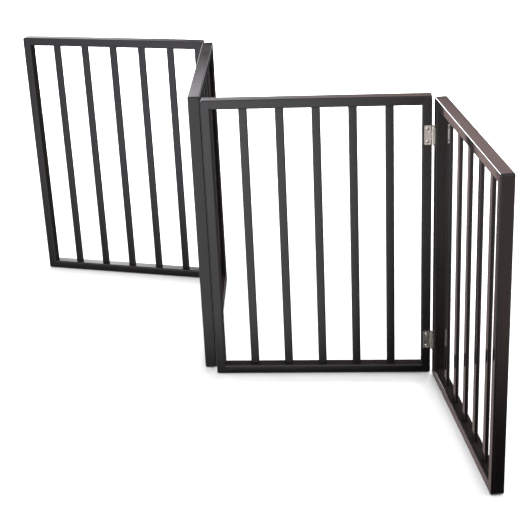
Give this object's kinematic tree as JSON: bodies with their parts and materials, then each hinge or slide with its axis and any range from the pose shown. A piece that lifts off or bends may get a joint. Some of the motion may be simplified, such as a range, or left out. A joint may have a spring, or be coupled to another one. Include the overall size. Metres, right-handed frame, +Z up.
{
  "type": "folding pet gate",
  "caption": "Free-standing folding wooden pet gate: slatted panels in a zigzag, joined edge to edge by small butt hinges so that it folds flat.",
  "frame": {"origin": "middle of the gate's footprint box at floor level, in its zigzag rest pose", "axes": "+Z up, against gravity; +X along the third panel, from its hinge with the second panel to its hinge with the fourth; -Y is the side the fourth panel points to, the front"},
  "size_m": [1.0614, 1.0482, 0.61],
  "materials": {
    "espresso_lacquer": "gloss dark espresso lacquer",
    "hinge_plate": "satin nickel plate"
  },
  "bodies": {
    "panel_1": {"panel_1_left_stile": "espresso_lacquer", "panel_1_right_stile": "espresso_lacquer", "panel_1_top_rail": "espresso_lacquer", "panel_1_bottom_rail": "espresso_lacquer", "panel_1_slat_1": "espresso_lacquer", "panel_1_slat_2": "espresso_lacquer", "panel_1_slat_3": "espresso_lacquer", "panel_1_slat_4": "espresso_lacquer", "panel_1_slat_5": "espresso_lacquer", "hinge_1_2_upper_leaf_1": "hinge_plate", "hinge_1_2_lower_leaf_1": "hinge_plate"},
    "panel_2": {"panel_2_left_stile": "espresso_lacquer", "panel_2_right_stile": "espresso_lacquer", "panel_2_top_rail": "espresso_lacquer", "panel_2_bottom_rail": "espresso_lacquer", "panel_2_slat_1": "espresso_lacquer", "panel_2_slat_2": "espresso_lacquer", "panel_2_slat_3": "espresso_lacquer", "panel_2_slat_4": "espresso_lacquer", "panel_2_slat_5": "espresso_lacquer", "hinge_1_2_upper_leaf_2": "hinge_plate", "hinge_1_2_upper_pin": "hinge_plate", "hinge_1_2_lower_leaf_2": "hinge_plate", "hinge_1_2_lower_pin": "hinge_plate", "hinge_2_3_upper_leaf_2": "hinge_plate", "hinge_2_3_lower_leaf_2": "hinge_plate"},
    "panel_3": {"panel_3_left_stile": "espresso_lacquer", "panel_3_right_stile": "espresso_lacquer", "panel_3_top_rail": "espresso_lacquer", "panel_3_bottom_rail": "espresso_lacquer", "panel_3_slat_1": "espresso_lacquer", "panel_3_slat_2": "espresso_lacquer", "panel_3_slat_3": "espresso_lacquer", "panel_3_slat_4": "espresso_lacquer", "panel_3_slat_5": "espresso_lacquer", "hinge_2_3_upper_leaf_3": "hinge_plate", "hinge_2_3_upper_pin": "hinge_plate", "hinge_2_3_lower_leaf_3": "hinge_plate", "hinge_2_3_lower_pin": "hinge_plate", "hinge_3_4_upper_leaf_3": "hinge_plate", "hinge_3_4_lower_leaf_3": "hinge_plate"},
    "panel_4": {"panel_4_left_stile": "espresso_lacquer", "panel_4_right_stile": "espresso_lacquer", "panel_4_top_rail": "espresso_lacquer", "panel_4_bottom_rail": "espresso_lacquer", "panel_4_slat_1": "espresso_lacquer", "panel_4_slat_2": "espresso_lacquer", "panel_4_slat_3": "espresso_lacquer", "panel_4_slat_4": "espresso_lacquer", "panel_4_slat_5": "espresso_lacquer", "hinge_3_4_upper_leaf_4": "hinge_plate", "hinge_3_4_upper_pin": "hinge_plate", "hinge_3_4_lower_leaf_4": "hinge_plate", "hinge_3_4_lower_pin": "hinge_plate"}
  },
  "joints": [
    {"name": "hinge_3_4", "type": "hinge", "parent": "panel_3", "child": "panel_4", "pos_m": [0.42523, -0.07489, 0.305], "axis": [0, 0, 1], "range_deg": [-100, 80]},
    {"name": "hinge_2_3", "type": "hinge", "parent": "panel_3", "child": "panel_2", "pos_m": [-0.03267, -0.04589, 0.305], "axis": [0, 0, 1], "range_deg": [-92.7, 87.3]},
    {"name": "hinge_1_2", "type": "hinge", "parent": "panel_2", "child": "panel_1", "pos_m": [-0.0832, 0.41013, 0.305], "axis": [0, 0, 1], "range_deg": [-76.2, 103.8]}
  ]
}
